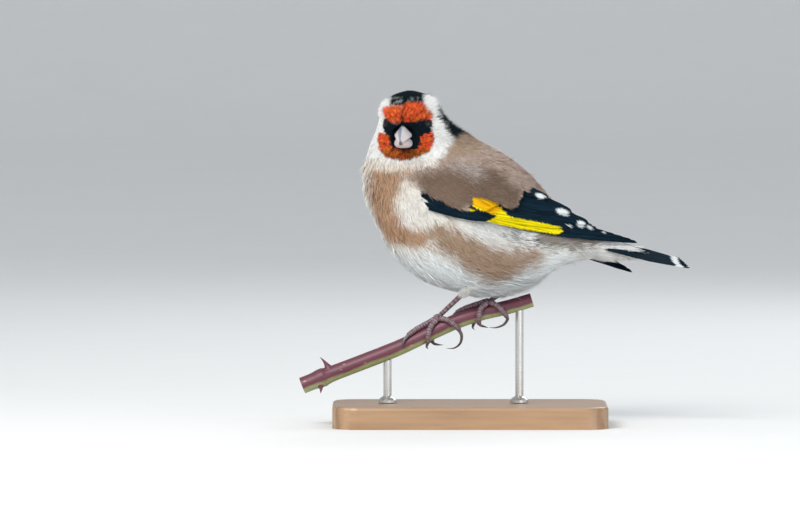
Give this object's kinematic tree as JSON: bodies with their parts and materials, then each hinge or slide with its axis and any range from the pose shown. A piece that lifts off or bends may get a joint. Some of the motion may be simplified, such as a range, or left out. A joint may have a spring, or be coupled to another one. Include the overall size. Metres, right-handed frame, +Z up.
{
  "type": "european goldfinch on a perch",
  "caption": "Life-size European goldfinch with its head turned, gripping a short cut length of thorny briar stem on a plain wood and steel display stand.",
  "frame": {"origin": "middle of the stand base's underside, on the table", "axes": "+Z up, -X towards the bird's breast, +X towards its tail, -Y the way its face looks"},
  "size_m": [0.1418, 0.0582, 0.1222],
  "materials": {
    "head_plumage": "soft matt feathers: white cheeks, red face, black crown and eye band",
    "neck_plumage": "soft matt feathers: white throat, buff nape and breast band",
    "body_plumage": "soft matt feathers: brown back, buff flanks, white belly",
    "wing_plumage": "sleek black feathers with a yellow band and white tips",
    "tail_plumage": "sleek black feathers with white spots, white coverts",
    "thigh_plumage": "soft matt white feathers",
    "bill_horn": "pale pinkish horn, satin, grey along the ridge",
    "eye_dark": "near-black brown, wet gloss",
    "foot_skin": "scaly greyish brown skin with dark claws",
    "stem_bark": "waxy purple-red bark, green underneath",
    "stand_wood": "oiled light wood, satin",
    "stand_steel": "brushed, satin"
  },
  "bodies": {
    "root": {"head": "head_plumage", "neck": "neck_plumage", "torso": "body_plumage", "tail": "tail_plumage", "wing_left": "wing_plumage", "wing_right": "wing_plumage", "leg_left": "thigh_plumage", "leg_right": "thigh_plumage", "foot_left": "foot_skin", "foot_right": "foot_skin", "eye_left": "eye_dark", "eye_right": "eye_dark", "bill_upper": "bill_horn", "bill_lower": "bill_horn", "perch": "stem_bark", "stand_base": "stand_wood", "stand_rod_front": "stand_steel", "stand_rod_rear": "stand_steel"}
  },
  "joints": []
}
